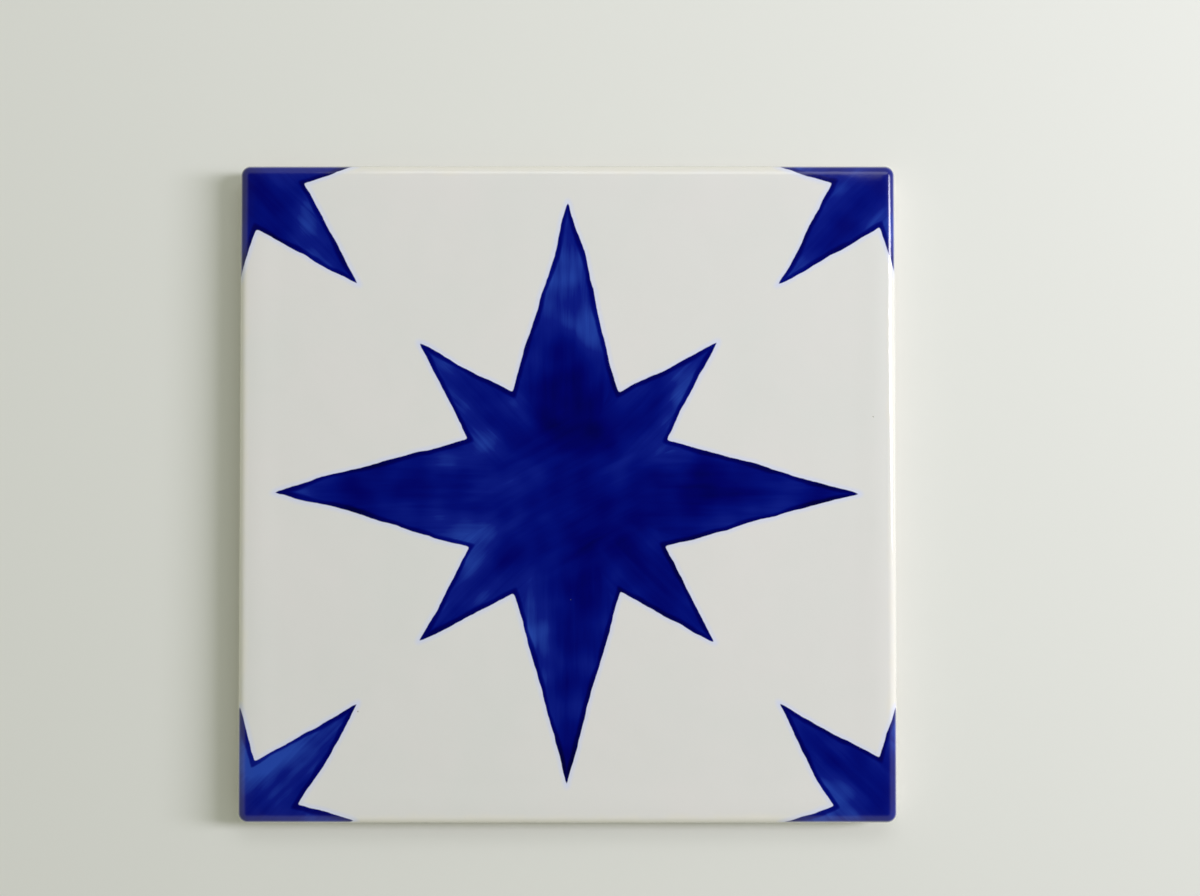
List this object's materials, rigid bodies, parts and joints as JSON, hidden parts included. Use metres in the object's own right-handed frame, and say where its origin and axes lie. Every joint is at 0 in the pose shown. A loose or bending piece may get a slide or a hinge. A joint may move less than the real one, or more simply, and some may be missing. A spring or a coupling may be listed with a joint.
{
  "type": "faience tile",
  "caption": "Square glazed faience wall tile, white with a hand-painted cobalt-blue star, rolled glazed edges and a back keyed for mortar.",
  "frame": {"origin": "middle of the bedding plane at the tile's back", "axes": "+Z out of the glazed face, X and Y along the tile's edges"},
  "size_m": [0.14, 0.14, 0.008],
  "materials": {
    "glazed_faience": "glossy off-white glaze with cobalt-blue painting over a matt buff-white body"
  },
  "bodies": {
    "root": {"tile": "glazed_faience"}
  },
  "joints": []
}
